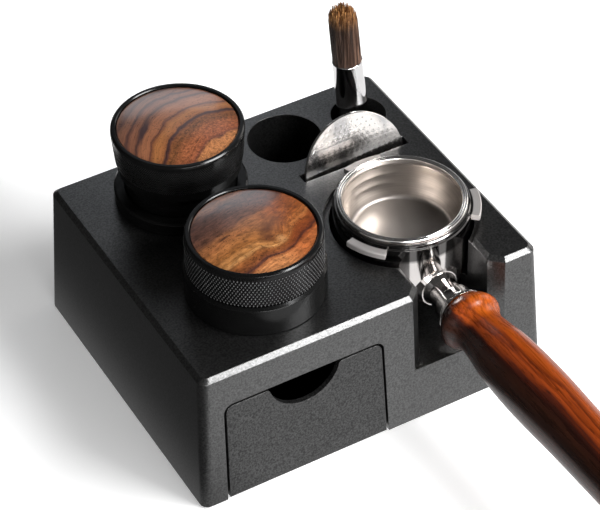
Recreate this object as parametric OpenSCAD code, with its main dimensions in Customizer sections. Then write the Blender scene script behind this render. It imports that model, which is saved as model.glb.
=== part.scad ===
// Espresso tamping station: a moulded case with a drawer, and the 54 mm tools that stand in it.
// Millimetres. +Z is up, the front looks towards -Y, and the origin lies on the ground
// under the middle of the case.

/* [Case] */
// Width of the case at its lower edge
base_w = 175.3; // [174:0.1:190]
// Depth of the case at its lower edge
base_d = 153.2; // [152:0.1:170]
// Height of the case from its lower edge to its top
case_h = 71.4; // [70.5:0.1:80]
// Slope of the outer walls in degrees
draft = 3.15; // [2:0.05:3.5]
// Leg of the chamfer round the top
edge_chamfer = 2; // [0.5:0.1:2.5]
// Radius of the four upright corners
corner_r = 4; // [3.5:0.1:8]
// Thickness of the case walls and top
wall = 3; // [2.5:0.1:3.5]
// Thickness of the walls round the wells and holes
rib = 2; // [1.5:0.1:2.4]
// Thickness of the screwed base plate
plate_t = 2.5; // [2:0.1:3.5]
// Thickness of the anti-slip mat
mat_t = 1; // [0.5:0.1:2]

/* [Drawer] */
// Middle of the drawer, to the left, as a part of the case width
drawer_side = 0.1985; // [0.196:0.0005:0.2]
// Width of the drawer front as a part of the case width
front_part = 0.437; // [0.41:0.001:0.44]
// Height of the drawer front
front_h = 51.9; // [46:0.1:52.5]
// Gap between the drawer front and the case
front_gap = 1.2; // [0.6:0.1:1.5]
// Radius of the two top corners of the drawer front
front_r = 3.5; // [2:0.1:5]
// Radius of the finger notch
finger_r = 17.5; // [14:0.1:20]
// Depth of the finger notch
finger_depth = 14.3; // [10:0.1:16]
// Radius of the rounded lips of the finger notch
lip_r = 2; // [1:0.1:3]
// Length of the tray from front to back
tray_l = 126; // [90:1:134]
// Height of the tray sides
tray_h = 42; // [30:1:44]
// Thickness of the tray walls
tray_wall = 2; // [1.5:0.1:3]
// Travel of the drawer up to its stop tabs
drawer_travel = 100; // [60:1:105]

/* [Portafilter seat] */
// Seat position to the right, as a part of the case width
seat_side = 0.2481; // [0.246:0.0001:0.251]
// Seat position from the middle of the case, to the back
seat_y = -24.6; // [-26:0.1:-24]
// Clearance of the portafilter in its seat
seat_play = 1.6; // [1.3:0.1:1.8]
// Width of the shallow ledge round the seat
ledge_w = 2.4; // [1.5:0.1:2.8]
// Depth of the ledge
ledge_depth = 2; // [1:0.1:3]
// Depth of the shoulder that carries the portafilter
shoulder_depth = 23.4; // [22:0.1:23.6]
// Width of the notch for the handle
notch_w = 35.8; // [34:0.1:38]
// Depth of the notch below the top
notch_depth = 42.4; // [42:0.1:46]
// Width of the flat facets at the mouth of the notch, seen from above
mouth_c = 5.8; // [4:0.1:7]

/* [Wells and holes] */
// Distributor position to the left, as a part of the case width
distributor_side = 0.1991; // [0.197:0.0001:0.203]
// Distributor position, to the back
distributor_y = -31.9; // [-33:0.1:-31]
// Tamper position to the left, as a part of the case width
tamper_side = 0.1911; // [0.189:0.0001:0.195]
// Tamper position, to the back
tamper_y = 40; // [39:0.1:41]
// Clearance of the tools in their wells
well_play = 1.1; // [0.6:0.1:1.6]
// Depth of the two tool wells
well_depth = 13; // [12.5:0.1:13.2]
// Empty hole position to the right, as a part of the case width
cup_side = 0.1438; // [0.141:0.0001:0.147]
// Empty hole position, to the back
cup_y = 49.2; // [48:0.1:49.5]
// Diameter of the empty hole
cup_d = 34.8; // [30:0.1:35]
// Depth of the empty hole
cup_depth = 52; // [40:1:60]
// Brush hole position to the right, as a part of the case width
brush_side = 0.3628; // [0.361:0.0001:0.365]
// Brush hole position, to the back
brush_y = 47.2; // [46.5:0.1:48]
// Diameter of the brush hole
brush_hole_d = 26; // [25.6:0.1:27]
// Depth of the brush hole
brush_depth = 56; // [50:1:60]
// Middle of the screen slot to the right, as a part of the case width
slot_side = 0.2584; // [0.255:0.0001:0.261]
// Middle of the screen slot, to the back
slot_y = 19.9; // [19.5:0.1:20.5]
// Clearance at either end of the screen in its slot
slot_play = 0.95; // [0.7:0.05:1.3]
// Width of the screen slot
slot_w = 5.7; // [5.4:0.1:6]
// Lean of the slot in degrees
slot_lean = 18; // [12:0.5:19]
// Depth of the slot
slot_depth = 32; // [31:0.5:34]

/* [Portafilter] */
// Inner diameter of the filter basket
basket_d = 54; // [53:0.1:54.4]
// Inner depth of the basket
basket_h = 20.5; // [16:0.5:23]
// Sheet thickness of the basket
basket_t = 0.8; // [0.6:0.1:0.9]
// Height of the basket rim above the case top
rim_rise = 10.9; // [10:0.1:12]
// Thickness of the portafilter body round its basket
body_wall = 4; // [3.8:0.1:4.4]
// Reach of the three ears beyond the body
ear_out = 4.4; // [3.2:0.1:5]
// Thickness of the ears
ear_t = 3; // [2.5:0.1:3.2]
// Angle that one ear covers
ear_angle = 31; // [26:1:40]
// Turn of the seated portafilter in degrees
seat_turn = 1; // [-1:0.5:2]
// Depth of the handle axis below the rim
handle_drop = 30; // [29:0.1:31]
// Distance from the body to the collar of the handle
neck_l = 10.7; // [10:0.1:13]
// Length of the collar
collar_l = 8.8; // [8:0.1:9.5]
// Length of the wooden grip
grip_l = 131; // [110:1:140]
// Largest radius of the grip at its swell
swell_r = 14.2; // [13:0.1:15]
// Radius of the round shoulder next to the collar
bulge_r = 14.6; // [14.2:0.1:15.5]
// Radius of the waist
waist_r = 11.3; // [11:0.1:12.5]
// Radius of the threaded stud in the grip
stud_r = 4; // [3:0.1:5]

/* [Distributor] */
// Radial clearance of the tools and of the screen in the basket
tool_play = 0.35; // [0.15:0.05:0.5]
// Reach of the smooth lower ring beyond the levelling base
ring_out = 4.55; // [4:0.05:5.2]
// Height of the lower ring
ring_h = 15.5; // [12:0.1:17]
// Reach of the knurled grip beyond the levelling base
knurl_out = 3.55; // [3.3:0.05:3.8]
// Height from the case top to the top edge of the grip
distributor_h = 33.2; // [32:0.1:36]
// Width of the flat rim round a wooden inlay
rim_w = 2.4; // [2:0.1:3]
// Gap between a wooden inlay and its rim
inlay_gap = 0.5; // [0.2:0.1:0.8]
// Rise of the domed inlay
inlay_rise = 3; // [1.5:0.1:4]
// Radial clearance of turning and sliding fits
fit_gap = 0.08; // [0.05:0.01:0.1]

/* [Tamper] */
// Reach of the collar beyond the tamper base
collar_out = 3.65; // [3.2:0.05:4.2]
// Height of the collar
collar_h = 6.8; // [6:0.1:7.5]
// Height from the case top to the top edge of the knob
tamper_h = 39.6; // [38.5:0.1:41]
// Height of the knob
knob_h = 22; // [21.5:0.1:22.5]
// Reach of the upper edge of the knob beyond the tamper base
knob_out = 3.15; // [2.8:0.05:3.5]
// Taper of the knob from its upper to its lower edge
knob_taper = 1.8; // [1:0.1:2.5]
// Travel of the knob
press_travel = 8; // [6:0.1:8]
// Step from the tamper base in to the guide sleeve of the knob
sleeve_in = 1.65; // [1.4:0.05:2.2]
// Turns of the spring
spring_turns = 5; // [4:0.5:5]
// Wire radius of the spring
wire_r = 1.1; // [0.8:0.1:1.3]

/* [Brush and screen] */
// Radius of the ferrule at its upper rim
ferrule_r = 6.9; // [6:0.1:7.2]
// Height of the ferrule rim above the case top
ferrule_top = 29; // [22:0.5:30]
// Free length of the bristles
bristle_l = 31; // [25:0.5:40]
// Lean of the brush to the left in degrees
lean_side = 3.8; // [2:0.1:4.2]
// Lean of the brush to the back in degrees
lean_back = 2.6; // [1.5:0.1:3]
// Thickness of the puck screen
screen_t = 1.7; // [1.2:0.1:2]
// Turn of the screen in its slot in degrees
screen_turn = 2.5; // [0:0.5:2.5]

/* [Hidden] */
$fn = 96;
thin = 0.01;
over = 1;
slope = tan(draft);
case_z = mat_t;
top_z = case_z + case_h;
rim_z = top_z + rim_rise;
seat_gap = 0.3;

// Places across the width of the case
drawer_x = -drawer_side * base_w;
front_w = front_part * base_w;
seat_x = seat_side * base_w;
distributor_x = -distributor_side * base_w;
tamper_x = -tamper_side * base_w;
cup_x = cup_side * base_w;
brush_x = brush_side * base_w;
slot_x = slot_side * base_w;

// Sizes that follow the basket
basket_r = basket_d / 2;
body_r = basket_r + body_wall;
ear_r = body_r + ear_out;
collar_start = body_r + neck_l;
grip_start = collar_start + collar_l;
tool_r = basket_r - tool_play;
ring_r = tool_r + ring_out;
knurl_r = tool_r + knurl_out;
collar_r = tool_r + collar_out;
knob_top_r = tool_r + knob_out;
knob_low_r = knob_top_r - knob_taper;
sleeve_r = tool_r - sleeve_in;
well_r = tool_r + well_play;
slot_l = 2 * (tool_r + slot_play);

// Half width and half depth of the outside at a height
function half_w(z) = base_w / 2 - slope * (z - case_z);
function half_d(z) = base_d / 2 - slope * (z - case_z);

// Points of an arc, from one angle to another
function arc(cx, cy, r, from, to, steps) =
    [for (i = [0 : steps]) let (a = from + (to - from) * i / steps) [cx + r * cos(a), cy + r * sin(a)]];

// Smooth curve through a list of points
function blend(a, b, c, d, t) = 0.5 * ((2 * b) + (c - a) * t
    + (2 * a - 5 * b + 4 * c - d) * t * t + (3 * b - a - 3 * c + d) * t * t * t);
function curve(p, steps) = [for (i = [0 : len(p) - 2], j = [0 : steps - 1])
    blend(p[max(i - 1, 0)], p[i], p[i + 1], p[min(i + 2, len(p) - 1)], j / steps)];

// CASE

module layer(z, inset, r) {
    for (sx = [-1, 1], sy = [-1, 1])
        translate([sx * (half_w(z) - inset - r), sy * (half_d(z) - inset - r), z])
            cylinder(h = thin, r = r, $fn = 32);
}

module case_solid() {
    hull() {
        layer(case_z, 0, corner_r);
        layer(top_z - edge_chamfer, 0, corner_r);
        layer(top_z - thin, edge_chamfer, corner_r - edge_chamfer / 2);
    }
}

module case_cavity() {
    inner_r = corner_r - wall + 1;
    hull() {
        layer(case_z - over, wall, inner_r);
        layer(top_z - wall, wall, inner_r);
    }
}

// Sizes of the portafilter seat
seat_r = body_r + seat_play;
ledge_r = seat_r + ledge_w;
bowl_in = 3.5;
bowl_r = body_r - bowl_in;
bowl_h = 9.6;
bowl_play = 1;
lower_r = bowl_r + bowl_play;
lower_depth = shoulder_depth + bowl_h + 0.4;
notch_floor = top_z - notch_depth;
mouth_draft = 2.4;

// Tray and drawer front
tray_gap = 0.3;
rail_gap = 0.4;
rail_w = 2;
rail_h = 3;
plate_top = case_z + plate_t;
tray_z = plate_top + tray_gap;
tray_step = 0.6;
tray_half = front_w / 2 - tray_step;
front_lift = 0.8;
front_low = case_z + front_lift;
front_top = front_low + front_h;
side_slope = 0.026;
front_skin = 2.6;
stop_rise = 1.8;
stop_z = front_top + front_gap + stop_rise;
stop_w = 7;
partition_gap = 0.5;
partition_x = drawer_x + tray_half + rail_gap + rail_w + partition_gap;

// Base screws
screw_side = 4.2;
screw_end = 7.4;
screw_x = base_w / 2 - wall - screw_side;
screw_y = base_d / 2 - wall - screw_end;
boss_r = 3.6;
boss_h = 22;
pilot_r = 1.25;
pilot_h = 16;
screw_l = 12;
head_r = 2.75;
head_h = 1.3;
head_play = 0.25;

module at_screws() {
    for (sx = [-1, 1], sy = [-1, 1]) translate([sx * screw_x, sy * screw_y, 0]) children();
}

module pipe(x, y, r, low) {
    translate([x, y, low]) cylinder(h = top_z - low, r = r);
}

module slanted_slot(grow, deep) {
    // The pocket leans, so its lower end lies nearer the front
    translate([slot_x, slot_y, top_z]) rotate([-slot_lean, 0, 0])
        translate([-slot_l / 2 - grow, -slot_w / 2 * cos(slot_lean) - grow, -deep])
            cube([slot_l + 2 * grow, slot_w * cos(slot_lean) + 2 * grow, deep + 3]);
}

module notch_blocks() {
    far = half_d(case_z);
    translate([seat_x - notch_w / 2 - wall, -far, notch_floor - rib])
        cube([notch_w + 2 * wall, far + seat_y, notch_depth + rib]);
    mouth = mouth_c + wall;
    translate([seat_x - notch_w / 2 - mouth, -far, notch_floor - rib])
        cube([notch_w + 2 * mouth, far - half_d(top_z) + mouth_c + wall, notch_depth + rib]);
}

module inner_walls() {
    pipe(seat_x, seat_y, seat_r + rib, top_z - shoulder_depth - rib);
    pipe(seat_x, seat_y, lower_r + rib, top_z - lower_depth - rib);
    pipe(seat_x, seat_y, ledge_r + rib, top_z - ledge_depth - wall);
    pipe(distributor_x, distributor_y, well_r + rib, top_z - well_depth - rib);
    pipe(tamper_x, tamper_y, well_r + rib, top_z - well_depth - rib);
    pipe(cup_x, cup_y, cup_d / 2 + rib, top_z - cup_depth - rib);
    pipe(brush_x, brush_y, brush_hole_d / 2 + rib, top_z - brush_depth - rib);
    slanted_slot(rib, slot_depth + rib);
    notch_blocks();
    at_screws() translate([0, 0, plate_top]) cylinder(h = boss_h, r = boss_r, $fn = 48);
    // Wall between the drawer and the wells
    translate([partition_x, -half_d(case_z), plate_top])
        cube([rib, 2 * half_d(case_z), top_z - plate_top]);
}

// Outline of the drawer front or of its opening, seen from the front
module front_outline(grow) {
    r = front_r + grow;
    high = front_top + grow;
    w = front_w / 2 + grow;
    low = case_z - over;
    foot = w + side_slope * (front_top - low);
    polygon(concat(arc(drawer_x + w - r, high - r, r, 0, 90, 8),
        arc(drawer_x - w + r, high - r, r, 90, 180, 8),
        [[drawer_x - foot, low], [drawer_x + foot, low]]));
}

module from_front(y0, y1) {
    translate([0, y1, 0]) rotate([90, 0, 0]) linear_extrude(y1 - y0) children();
}

module notch_plan() {
    half = notch_w / 2;
    far = -half_d(case_z) - seat_y - over;
    translate([seat_x - half, seat_y + far]) square([notch_w, -far]);
}

module notch_facet(side) {
    // Frame in the middle of the upper edge of one facet, with -Y out of the case
    translate([seat_x + side * (notch_w + mouth_c) / 2, -half_d(top_z) + mouth_c / 2, top_z])
        rotate([0, 0, -side * 45]) children();
}

module notch_mouth() {
    // Flat facets, smaller towards the bottom
    intersection() {
        for (side = [-1, 1]) notch_facet(side) rotate([-mouth_draft, 0, 0])
            translate([-mouth_c, -16, -notch_depth - 2]) cube([2 * mouth_c, 16, notch_depth + 4]);
        translate([seat_x - notch_w, -base_d, notch_floor]) cube([2 * notch_w, base_d, notch_depth + over]);
    }
}

module notch_chamfer() {
    // A chamfer along both upper edges and over the facets
    half = notch_w / 2;
    c = edge_chamfer;
    edge = -half_d(top_z) + mouth_c;
    for (side = [-1, 1]) {
        translate([seat_x + side * half, 0, top_z]) rotate([90, 0, 0])
            linear_extrude(height = -edge) polygon([[-side, -c - 1], [side * (c + 1), 1], [-side, 1]]);
        notch_facet(side) rotate([45, 0, 0])
            cube([mouth_c * sqrt(2) + c, c * sqrt(2), c * sqrt(2)], center = true);
    }
}

module station_housing() {
    color("#26272a") difference() {
        intersection() {
            case_solid();
            union() {
                difference() {
                    case_solid();
                    case_cavity();
                }
                inner_walls();
            }
        }
        // Portafilter seat: a shallow ledge, the body well and the bowl well
        translate([seat_x, seat_y, top_z - ledge_depth]) cylinder(h = ledge_depth + over, r = ledge_r);
        translate([seat_x, seat_y, top_z - shoulder_depth]) cylinder(h = shoulder_depth, r = seat_r);
        translate([seat_x, seat_y, top_z - lower_depth]) cylinder(h = lower_depth, r = lower_r);
        translate([0, 0, notch_floor]) linear_extrude(height = notch_depth + over) notch_plan();
        notch_mouth();
        notch_chamfer();
        // Tool wells
        translate([distributor_x, distributor_y, top_z - well_depth])
            cylinder(h = well_depth + over, r = well_r);
        translate([tamper_x, tamper_y, top_z - well_depth]) cylinder(h = well_depth + over, r = well_r);
        // Holes and slot
        translate([cup_x, cup_y, top_z - cup_depth]) cylinder(h = cup_depth + over, d = cup_d);
        translate([brush_x, brush_y, top_z - brush_depth])
            cylinder(h = brush_depth + over, d = brush_hole_d);
        slanted_slot(0, slot_depth);
        // Drawer opening and screw pilots
        from_front(-base_d, -half_d(top_z) + wall) front_outline(front_gap);
        at_screws() translate([0, 0, case_z]) cylinder(h = pilot_h, r = pilot_r, $fn = 32);
    }
}

plate_gap = 0.5;
plate_w = base_w - 2 * (wall + plate_gap);
plate_d = base_d - 2 * (wall + plate_gap);
plate_r = 3;
rail_end = 8;
mat_inset = 5;

module rounded_plate(w, d, r, z0, z1) {
    translate([-w / 2 + r, -d / 2, z0]) cube([w - 2 * r, d, z1 - z0]);
    translate([-w / 2, -d / 2 + r, z0]) cube([w, d - 2 * r, z1 - z0]);
    for (sx = [-1, 1], sy = [-1, 1])
        translate([sx * (w / 2 - r), sy * (d / 2 - r), z0]) cylinder(h = z1 - z0, r = r, $fn = 48);
}

module base_plate() {
    color("#1d1e20") difference() {
        union() {
            rounded_plate(plate_w, plate_d, plate_r, case_z, plate_top);
            // Two rails guide the tray
            for (side = [-1, 1])
                translate([drawer_x + side * (tray_half + rail_gap + rail_w / 2) - rail_w / 2,
                    -plate_d / 2 + rail_end, plate_top]) cube([rail_w, plate_d - 2 * rail_end, rail_h]);
        }
        // Room for the drawer front
        translate([drawer_x - front_w, -base_d, case_z - over])
            cube([2 * front_w, base_d - half_d(front_top) + front_skin + rail_gap, plate_t + 2 * over]);
        at_screws() {
            translate([0, 0, case_z - over])
                cylinder(h = plate_t + 2 * over, r = pilot_r + head_play, $fn = 48);
            translate([0, 0, case_z - thin])
                cylinder(h = head_h + head_play, r1 = head_r + head_play, r2 = pilot_r, $fn = 48);
        }
    }
}

module base_screws() {
    // Four countersunk screws, heads flush with the underside of the plate
    color("#9a9b9e") at_screws() translate([0, 0, case_z + 0.1]) {
        cylinder(h = head_h, r1 = head_r, r2 = pilot_r, $fn = 48);
        cylinder(h = screw_l, r = pilot_r - 0.05, $fn = 48);
    }
}

module anti_slip_mat() {
    color("#151515") rounded_plate(base_w - 2 * mat_inset, base_d - 2 * mat_inset, corner_r, 0, mat_t);
}

// Side profile of the drawer front: its skin keeps the slope of the case
module skin_profile(inset, low, high, back) {
    // Drawn in the plane of depth and height
    polygon([[-half_d(low) + inset, low], [-half_d(high) + inset, high], [back, high], [back, low]]);
}

module along_x(x0, x1) {
    translate([x0, 0, 0]) rotate([90, 0, 90]) linear_extrude(x1 - x0) children();
}

module drawer() {
    tray_top = tray_z + tray_h;
    rear = -half_d(front_top) + tray_l;
    mid = -half_d(front_top) + front_skin + 4;
    color("#2a2b2e") difference() {
        union() {
            intersection() {
                along_x(drawer_x - front_w, drawer_x + front_w)
                    skin_profile(0, front_low, front_top, -half_d(front_top) + front_skin);
                from_front(-base_d, 0) front_outline(0);
            }
            along_x(drawer_x - tray_half, drawer_x + tray_half)
                skin_profile(front_skin / 2, tray_z, tray_top, rear);
            // Two tabs that meet the inside of the case front when the drawer is out
            for (x = [drawer_x - tray_half, drawer_x + tray_half - tray_wall])
                translate([x, wall - half_d(stop_z) + drawer_travel + 0.3, tray_top - over])
                    cube([tray_wall, stop_w, stop_z - tray_top + over]);
        }
        // Inside of the tray
        along_x(drawer_x - tray_half + tray_wall, drawer_x + tray_half - tray_wall)
            skin_profile(front_skin, tray_z + tray_wall, top_z, rear - tray_wall);
        // Finger notch with rounded lips
        finger_z = front_top - finger_depth + finger_r;
        from_front(-base_d, mid) finger_plan(finger_z);
    }
}

module finger_plan(cz) {
    // The circle meets the top edge through two small rounds
    drop = cz - (front_top - lip_r);
    reach = sqrt(pow(finger_r + lip_r, 2) - drop * drop);
    tilt = asin(drop / (finger_r + lip_r));
    translate([drawer_x, 0]) polygon(concat(
        [[reach, front_top + 3]],
        arc(reach, front_top - lip_r, lip_r, 90, 180 - tilt, 6),
        arc(0, cz, finger_r, -tilt, tilt - 180, 30),
        arc(-reach, front_top - lip_r, lip_r, tilt, 90, 6),
        [[-reach, front_top + 3]]));
}

// PORTAFILTER, drawn with its rim at height 0 and its handle towards -Y

module in_seat() {
    translate([seat_x, seat_y, rim_z]) rotate([0, 0, seat_turn]) children();
}

flange_t = 1.9;
flange_gap = 0.05;
bore_r = basket_r + basket_t + 0.5;
neck_r = 7;
shoulder_z = shoulder_depth + rim_rise;
ear_z = 3.5;

// Stations of the root of the neck: distance from the axis, height, half width and half height
root_stations = [[body_r - 7, 2.6 - handle_drop, 14, 14.5], [body_r - 2.5, 1.2 - handle_drop, 11.8, 12.2],
    [body_r + 0.6, -handle_drop, 9.2, 9.2]];

module neck_disc(s) {
    translate([0, -s[0], s[1]]) rotate([90, 0, 0]) scale([s[2], s[3], 1])
        cylinder(h = thin, r = 1, $fn = 32);
}

module portafilter_body() {
    color("#c9c9c9") in_seat() difference() {
        union() {
            rotate_extrude() polygon(concat([[bore_r - 4, -flange_t - flange_gap],
                [body_r - 0.9, -flange_t - flange_gap], [body_r - 0.4, -flange_t - 0.5],
                [body_r - 0.4, -ear_z - 0.4], [body_r, -ear_z - 1],
                [body_r, -shoulder_z + 0.8], [body_r - 0.8, -shoulder_z], [bowl_r, -shoulder_z]],
                arc(bowl_r - 6, -shoulder_z - 1, 6, 0, -75, 6),
                [[9, 1.4 - shoulder_z - bowl_h], [7.6, -shoulder_z - bowl_h], [0, -shoulder_z - bowl_h]]));
            for (turn = [90, 210, 330]) rotate([0, 0, turn - ear_angle / 2])
                rotate_extrude(angle = ear_angle) polygon([[body_r - 1, -ear_z], [ear_r - 0.4, -ear_z],
                    [ear_r, -ear_z - 0.4], [ear_r, -ear_z - ear_t + 0.4], [ear_r - 0.4, -ear_z - ear_t],
                    [body_r - 1, -ear_z - ear_t]]);
            for (i = [0 : len(root_stations) - 2]) hull() {
                neck_disc(root_stations[i]);
                neck_disc(root_stations[i + 1]);
            }
            // Neck, which leaves the root in a short cone
            translate([0, -body_r + 2, -handle_drop]) rotate([90, 0, 0]) rotate_extrude()
                polygon([[0, 0], [neck_r + 1.6, 0], [neck_r + 1.6, 2.9], [neck_r + 0.5, 5.2],
                    [neck_r + 0.2, collar_start - body_r + 1], [neck_r, collar_start - body_r + 2.5],
                    [0, collar_start - body_r + 2.5]]);
        }
        // Bore for the basket, with a groove for its clip ring, and the bowl below
        rotate_extrude() polygon([[0, 1], [bore_r, 1], [bore_r, -clip_z + 1.1],
            [bore_r + 0.9, -clip_z + 0.7], [bore_r + 0.9, -clip_z - 0.7], [bore_r, -clip_z - 1.1],
            [bore_r, -basket_h - 4], [bowl_r - 3.5, -shoulder_z + 1], [bowl_r - 7, -shoulder_z - 3.5],
            [4, -shoulder_z - 6], [4, -shoulder_z - 20], [0, -shoulder_z - 20]]);
        // Threaded hole for the handle stud
        translate([0, -collar_start - 1, -handle_drop]) rotate([-90, 0, 0])
            cylinder(h = stud_in + 2, r = stud_r);
    }
}

clip_z = 9;
clip_wire = 0.6;
clip_gap = 20;
stud_in = 8.5;
stud_l = 62;

rim_wire = 0.75;
rim_in = 0.25;
rim_out = 2.35;

module filter_basket() {
    // Pressed sheet: straight wall, tapered foot and a double rolled rim
    r = basket_r;
    t = basket_t;
    foot = r - 3.2;
    bend = 2;
    outer = r + rim_out - rim_wire;
    color("#d6d2cb") in_seat() rotate_extrude() polygon(concat(
        [[0, -basket_h], [foot - bend, -basket_h]],
        arc(foot - bend, -basket_h + bend, bend, -90, -15, 5),
        [[foot + 0.5, -basket_h + 3.4], [r - 1.4, -basket_h * 0.62], [r - 0.5, -basket_h * 0.4],
            [r, -3]],
        arc(r - rim_in + rim_wire, -rim_wire, rim_wire, 205, 43, 9),
        arc(outer, -rim_wire, rim_wire, 137, 0, 8), arc(outer, -flange_t + rim_wire, rim_wire, 0, -90, 5),
        [[r + t + 0.3, -flange_t], [r + t, -3], [r + t - 0.5, -basket_h * 0.4],
            [r + t - 1.4, -basket_h * 0.62], [foot + 0.5 + t, -basket_h + 3.4]],
        arc(foot - bend + t * 0.8, -basket_h + bend, bend + t * 0.5, -15, -90, 5),
        [[0, -basket_h - t]]));
}

module basket_clip_ring() {
    // Spring wire that holds the basket
    ring = basket_r + basket_t + clip_wire;
    color("#8d8d8d") in_seat() rotate([0, 0, 90 + clip_gap / 2])
        rotate_extrude(angle = 360 - clip_gap) translate([ring, -clip_z]) circle(r = clip_wire, $fn = 16);
}

module along_handle(start) {
    in_seat() translate([0, -start, -handle_drop]) rotate([90, 0, 0]) children();
}

module handle_collar() {
    // Turned collar: a broad band, a flared groove and a flange that backs the wood
    l = collar_l;
    flange = bulge_r - 2.9;
    band_r = neck_r + 2.3;
    color("#cfcfcf") along_handle(collar_start) difference() {
        rotate_extrude() polygon(concat([[0, 0], [band_r - 0.5, 0], [band_r, 0.5], [band_r, l - 4.2],
            [band_r - 0.6, l - 3.8]], arc(band_r + 1, l - 3.6, 1.6, 180, 105, 5),
            [[flange - 0.4, l - 1.9], [flange, l - 1.5], [flange, l - 0.5], [flange - 1, l], [0, l]]));
        translate([0, 0, -over]) cylinder(h = l + 2 * over, r = stud_r + 0.1);
        // Socket for the end of the neck
        translate([0, 0, -over]) cylinder(h = over + 0.7, r = neck_r + 0.5);
    }
}
module handle_stud() {
    color("#9c9c9c") along_handle(collar_start - stud_in) cylinder(h = stud_l, r = stud_r - 0.05);
}

module handle_grip() {
    // Turned wood: round shoulder, waist, long swell and a plain round end
    tail = 13;
    knots = [[11, 0], [12.7, 1.4], [bulge_r - 0.6, 3.6], [bulge_r, 6], [bulge_r - 0.7, 8.2],
        [waist_r + 1.2, 10.6], [waist_r + 0.2, 13.4], [waist_r, 16], [waist_r + 0.3, 19],
        [waist_r + 0.95, 24], [swell_r - 0.85, 32], [swell_r, 49], [swell_r - 0.05, 66],
        [swell_r - 0.65, 86], [swell_r - 1, grip_l - tail]];
    end_r = swell_r - 1;
    color("#a04c16") along_handle(grip_start) difference() {
        rotate_extrude() polygon(concat([[0, 0]], curve(knots, 4),
            [for (i = [0 : 8]) let (a = 90 * i / 8) [end_r * cos(a), grip_l - tail + tail * sin(a)]]));
        translate([0, 0, -over]) cylinder(h = stud_l - 14 + over, r = stud_r);
    }
}

// DISTRIBUTOR, drawn from the case top upwards

module at_distributor() {
    translate([distributor_x, distributor_y, top_z]) children();
}

shank_in = 2.65;
shank_r = tool_r - shank_in;
screw_hole = 2.1;
gap_z = 0.3;
seat_deep = 2.6;

// Blades of the levelling base
blade_count = 3;
blade_h = 2.5;
level_t = 4;
level_z = -3;
blade_w = 16;
blade_start = 4.2;
bolt_l = 12;
bolt_head_r = 3.6;
bolt_head_h = 2.4;

module distributor_ring() {
    color("#17181a") at_distributor() rotate_extrude() polygon([[shank_r + fit_gap, 0.6],
        [shank_r + fit_gap + 0.6, 0], [ring_r - 0.5, 0], [ring_r, 0.5], [ring_r, ring_h - 1.3],
        [ring_r - 1.2, ring_h], [shank_r + fit_gap, ring_h]]);
}

module tool_head(low, high, r_low, r_high) {
    // Turned grip: lower edge, upper bevel and a flat rim round the inlay seat
    inner = r_high - rim_w;
    polygon([[0, low], [r_low - 0.5, low], [r_low, low + 0.5], [r_high + 0.1, high - 1.6],
        [r_high - 0.1, high - 0.6], [r_high - 0.7, high], [inner + 0.4, high], [inner, high - 0.4],
        [inner, high - seat_deep], [0, high - seat_deep]]);
}

module distributor_grip() {
    head = distributor_h - ring_h - gap_z;
    color("#1c1d1f") at_distributor() difference() {
        rotate_extrude() union() {
            translate([0, ring_h + gap_z]) tool_head(0, head, knurl_r - 0.3, knurl_r - 0.4);
            translate([0, level_z]) square([shank_r, ring_h + gap_z - level_z]);
        }
        translate([0, 0, level_z - over]) cylinder(h = bolt_l + 2 * over, r = screw_hole, $fn = 48);
    }
}

module dome(r, edge, rise) {
    // Spherical cap on a short round edge
    ball = (r * r + rise * rise) / (2 * rise);
    tilt = asin(r / ball);
    rotate_extrude() polygon(concat([[0, -edge], [r - 0.3, -edge], [r, 0.3 - edge]],
        arc(0, rise - ball, ball, 90 - tilt, 90, 12)));
}

inlay_edge = 1.8;

module distributor_inlay() {
    color("#7a4a26") at_distributor()
        translate([0, 0, distributor_h - seat_deep + inlay_edge])
            dome(knurl_r - 0.4 - rim_w - inlay_gap, inlay_edge, inlay_rise);
}

module distributor_base() {
    // Steel leveller: a round plate with three sloping blades on its face
    r = tool_r;
    color("#b9b9b9") at_distributor() difference() {
        union() {
            translate([0, 0, level_z - level_t]) cylinder(h = level_t, r = r);
            for (i = [0 : blade_count - 1]) rotate([0, 0, 360 / blade_count * i])
                translate([blade_start, 0, level_z - level_t]) rotate([90, 0, 90])
                    linear_extrude(r - blade_start - 8) polygon([[0, 0.5], [blade_w, 0.5],
                        [blade_w - 0.5, -blade_h], [blade_w - 3, -blade_h]]);
        }
        translate([0, 0, level_z - level_t - blade_h - over])
            cylinder(h = level_t + blade_h + 2 * over, r = screw_hole, $fn = 48);
    }
}

module distributor_screw() {
    color("#8f9093") at_distributor() {
        translate([0, 0, level_z - level_t - bolt_head_h])
            cylinder(h = bolt_head_h, r = bolt_head_r, $fn = 48);
        translate([0, 0, level_z - level_t]) cylinder(h = level_t + bolt_l, r = screw_hole - 0.05, $fn = 48);
    }
}

// TAMPER, drawn from the case top upwards

module at_tamper() {
    translate([tamper_x, tamper_y, top_z]) children();
}

knob_low = tamper_h - knob_h;
piston_h = 5.5;
piston_top = piston_h - well_depth;
press_end_gap = 2.6;
sleeve_low = piston_top + press_travel + press_end_gap;
sleeve_wall = 5;
sleeve_bore = sleeve_r - sleeve_wall;
crown_low = knob_low + 6;
crown_bore = press_travel + 4;
shaft_r = 6;
shaft_in = 3;
shaft_top = crown_low + 2.5;

module tamper_collar() {
    color("#17181a") at_tamper() rotate_extrude() polygon([[sleeve_r + fit_gap, 0.5],
        [sleeve_r + fit_gap + 0.5, 0], [collar_r - 0.5, 0], [collar_r, 0.5], [collar_r, collar_h - 0.8],
        [collar_r - 0.8, collar_h], [sleeve_r + fit_gap + 0.5, collar_h],
        [sleeve_r + fit_gap, collar_h - 0.5]]);
}

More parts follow.
